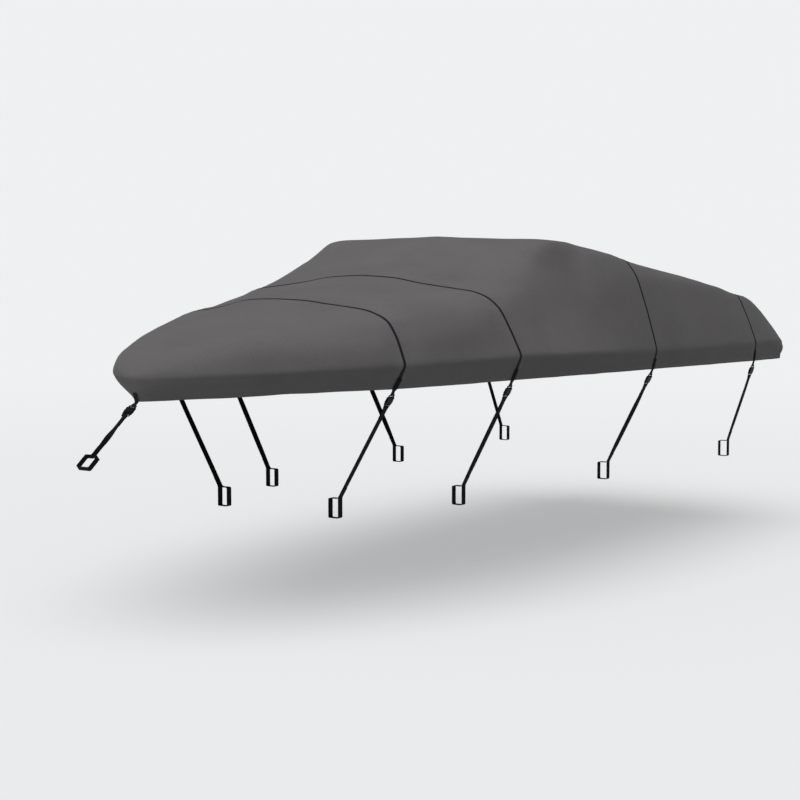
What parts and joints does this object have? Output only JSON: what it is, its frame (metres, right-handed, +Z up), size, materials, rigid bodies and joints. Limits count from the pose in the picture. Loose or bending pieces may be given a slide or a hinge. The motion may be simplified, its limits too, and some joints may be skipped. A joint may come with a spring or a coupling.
{
  "type": "boat cover",
  "caption": "Fitted grey woven cover for a trailered runabout, with cross webs, buckles and tie-down straps; hollow, without the boat.",
  "frame": {"origin": "underside of the crown over the windscreen, on the middle plane", "axes": "+X aft, +Y starboard, +Z up"},
  "size_m": [5.7681, 2.2242, 1.4661],
  "materials": {
    "woven_polyester": "matt charcoal weave",
    "polypropylene_webbing": "black webbing",
    "moulded_acetal": "satin black"
  },
  "bodies": {
    "root": {"panel_bow": "woven_polyester", "panel_foredeck": "woven_polyester", "panel_windscreen": "woven_polyester", "panel_cockpit": "woven_polyester", "panel_stern": "woven_polyester", "seam_web_1": "polypropylene_webbing", "seam_web_2": "polypropylene_webbing", "seam_web_3": "polypropylene_webbing", "seam_web_4": "polypropylene_webbing", "patch_port_1": "polypropylene_webbing", "patch_starboard_1": "polypropylene_webbing", "patch_port_2": "polypropylene_webbing", "patch_starboard_2": "polypropylene_webbing", "patch_port_3": "polypropylene_webbing", "patch_starboard_3": "polypropylene_webbing", "patch_port_4": "polypropylene_webbing", "patch_starboard_4": "polypropylene_webbing", "tie_down_port_1": "polypropylene_webbing", "tie_down_starboard_1": "polypropylene_webbing", "tie_down_port_2": "polypropylene_webbing", "tie_down_starboard_2": "polypropylene_webbing", "tie_down_port_3": "polypropylene_webbing", "tie_down_starboard_3": "polypropylene_webbing", "tie_down_port_4": "polypropylene_webbing", "tie_down_starboard_4": "polypropylene_webbing", "bow_web": "polypropylene_webbing", "bow_strap": "polypropylene_webbing", "buckle_socket_bow": "moulded_acetal", "buckle_socket_port_1": "moulded_acetal", "buckle_socket_starboard_1": "moulded_acetal", "buckle_socket_port_2": "moulded_acetal", "buckle_socket_starboard_2": "moulded_acetal", "buckle_socket_port_3": "moulded_acetal", "buckle_socket_starboard_3": "moulded_acetal", "buckle_socket_port_4": "moulded_acetal", "buckle_socket_starboard_4": "moulded_acetal", "buckle_plug_bow": "moulded_acetal", "buckle_plug_port_1": "moulded_acetal", "buckle_plug_starboard_1": "moulded_acetal", "buckle_plug_port_2": "moulded_acetal", "buckle_plug_starboard_2": "moulded_acetal", "buckle_plug_port_3": "moulded_acetal", "buckle_plug_starboard_3": "moulded_acetal", "buckle_plug_port_4": "moulded_acetal", "buckle_plug_starboard_4": "moulded_acetal"}
  },
  "joints": []
}
